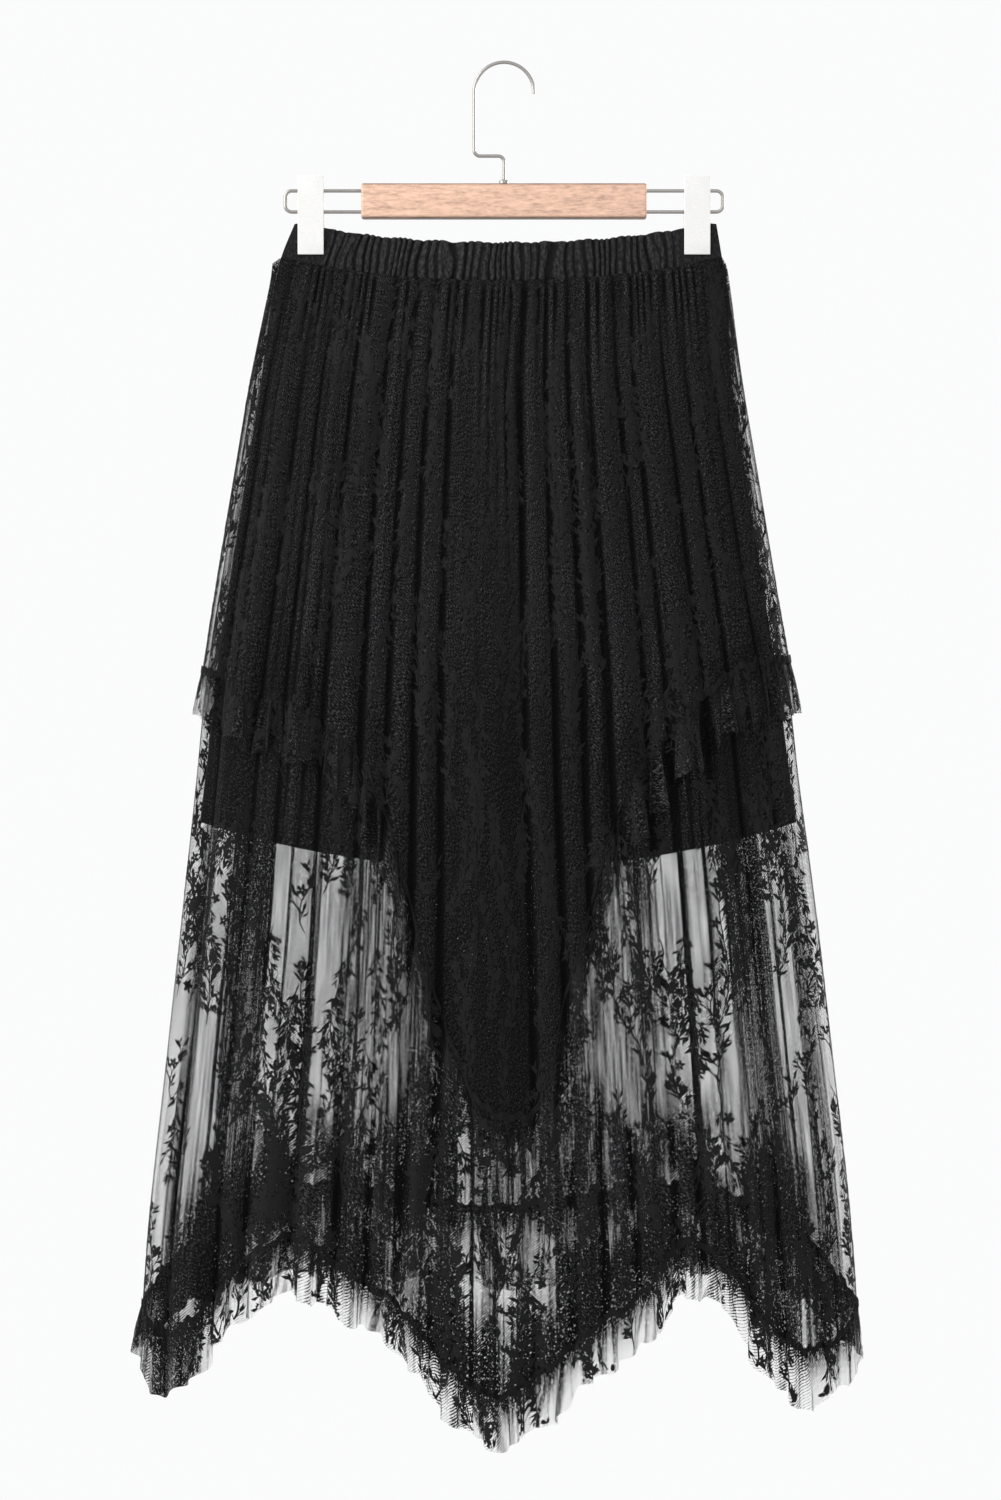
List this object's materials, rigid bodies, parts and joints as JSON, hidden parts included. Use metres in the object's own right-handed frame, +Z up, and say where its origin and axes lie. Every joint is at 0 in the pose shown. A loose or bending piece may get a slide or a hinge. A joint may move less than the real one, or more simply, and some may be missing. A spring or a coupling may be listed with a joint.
{
  "type": "tiered lace maxi skirt on a clip hanger",
  "caption": "Black lace maxi skirt with an elastic waistband, short lining and ruffled handkerchief tiers, hung by clips from a wooden bar hanger with a wire hook",
  "frame": {"origin": "the inner crown of the hanger's hook, where a rod carries it", "axes": "+Z up along the skirt's length, front of the skirt facing -Y, +X to the viewer's right"},
  "size_m": [0.6281, 0.1153, 1.182],
  "materials": {
    "lace": "fine net with twig and blossom lace, matt",
    "jersey": "smooth opaque jersey, matt",
    "wood": "pale, lightly varnished",
    "wire": "polished",
    "clip": "satin white"
  },
  "bodies": {
    "root": {"waistband_front": "lace", "waistband_back": "lace", "lining_front": "jersey", "lining_back": "jersey", "lower_tier_front": "lace", "lower_tier_back": "lace", "lower_ruffle_front": "lace", "lower_ruffle_back": "lace", "upper_tier_front": "lace", "upper_tier_back": "lace", "upper_ruffle_front": "lace", "upper_ruffle_back": "lace", "hanger_bar": "wood", "hanger_hook": "wire", "hanger_ferrule": "wire", "rail_left": "wire", "rail_right": "wire", "clip_left": "clip", "clip_right": "clip"}
  },
  "joints": []
}
